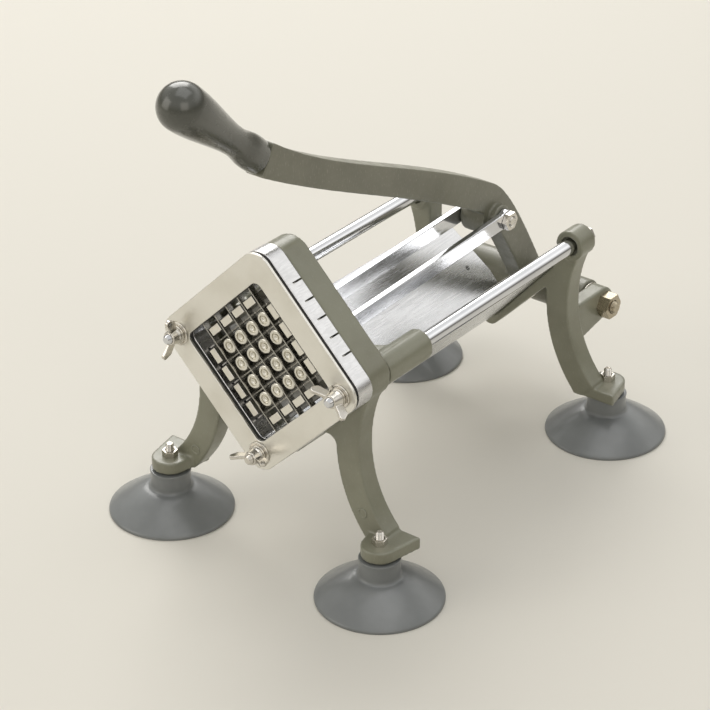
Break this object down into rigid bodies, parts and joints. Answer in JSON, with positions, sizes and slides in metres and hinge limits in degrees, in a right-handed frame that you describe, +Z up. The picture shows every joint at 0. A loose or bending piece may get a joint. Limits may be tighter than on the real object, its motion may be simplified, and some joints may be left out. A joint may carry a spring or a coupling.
{
  "type": "french fry cutter",
  "caption": "Lever press on suction feet that pushes a potato along a V trough through a square grid of blades to cut it into sticks.",
  "frame": {"origin": "on the table, under the middle of the bounding box", "axes": "+X to the object's left as it faces its user at the outlet, +Y from the outlet to the lever's pivot, +Z up"},
  "size_m": [0.243, 0.367, 0.3371],
  "materials": {
    "cast_paint": "grey-green hammered paint",
    "lever_paint": "grey-green paint over a rough casting",
    "grip_gloss": "glossy dark grey",
    "chrome": "polished",
    "plate_metal": "brushed and polished",
    "spacer_dark": "matt",
    "blade_frame_metal": "polished",
    "blade_steel": "bright",
    "trough_steel": "polished sheet",
    "finger_metal": "machined",
    "pusher_metal": "cast",
    "cup_rubber": "matt grey",
    "bush_brass": "plain",
    "fastener_nickel": "nickel plated",
    "nut_warm": "nickel plated, warm",
    "clip_steel": "plain"
  },
  "bodies": {
    "frame": {"front_casting": "cast_paint", "rear_casting": "cast_paint", "guide_rod_left": "chrome", "guide_rod_right": "chrome", "rod_nuts": "fastener_nickel", "front_plate": "plate_metal", "plate_spacer": "spacer_dark", "blade_frame": "blade_frame_metal", "front_blades": "blade_steel", "rear_blades": "blade_steel", "lower_stud": "fastener_nickel", "clamp_washers": "fastener_nickel", "trough": "trough_steel", "trough_screws": "fastener_nickel", "suction_cup_front_left": "cup_rubber", "suction_cup_front_right": "cup_rubber", "suction_cup_rear_left": "cup_rubber", "suction_cup_rear_right": "cup_rubber", "foot_studs": "fastener_nickel", "foot_nuts": "fastener_nickel", "pivot_bolt": "fastener_nickel", "pivot_nut": "nut_warm", "pivot_washers": "fastener_nickel"},
    "lever_body": {"lever": "lever_paint", "lever_bushes": "bush_brass", "grip": "grip_gloss", "link_bolt": "fastener_nickel", "link_nut": "fastener_nickel"},
    "links": {"link_left": "chrome", "link_right": "chrome", "link_pin": "fastener_nickel", "link_pin_clips": "clip_steel"},
    "pusher": {"pusher_carriage": "cast_paint", "pusher_plate": "pusher_metal", "pusher_screws": "fastener_nickel", "round_fingers": "finger_metal", "edge_fingers": "finger_metal"},
    "wing_left": {"wing_nut_left": "fastener_nickel"},
    "wing_right": {"wing_nut_right": "fastener_nickel"},
    "wing_bottom": {"wing_nut_bottom": "fastener_nickel"}
  },
  "joints": [
    {"name": "lever_pivot", "type": "hinge", "parent": "frame", "child": "lever_body", "pos_m": [0, 0.17137, 0.0745], "axis": [-1, 0, 0], "range_deg": [0, 75]},
    {"name": "link_swing", "type": "hinge", "parent": "lever_body", "child": "links", "pos_m": [0, 0.12037, 0.143], "axis": [-1, 0, 0], "range_deg": [-75.03, 0.5]},
    {"name": "pusher_slide", "type": "slide", "parent": "frame", "child": "pusher", "axis": [0, 1, 0], "range_m": [-0.0003, 0.10442]},
    {"name": "wing_left_turn", "type": "hinge", "parent": "frame", "child": "wing_left", "pos_m": [-0.06104, -0.11663, 0.1365], "axis": [0, -1, 0], "continuous": true},
    {"name": "wing_right_turn", "type": "hinge", "parent": "frame", "child": "wing_right", "pos_m": [0.06104, -0.11663, 0.1365], "axis": [0, -1, 0], "continuous": true},
    {"name": "wing_bottom_turn", "type": "hinge", "parent": "frame", "child": "wing_bottom", "pos_m": [0, -0.11663, 0.07546], "axis": [0, -1, 0], "continuous": true}
  ],
  "couplings": [
    {"joint": "link_swing", "follows": "lever_pivot", "ratio": -0.99375},
    {"joint": "pusher_slide", "follows": "lever_pivot", "m_per_rad": 0.079388}
  ]
}
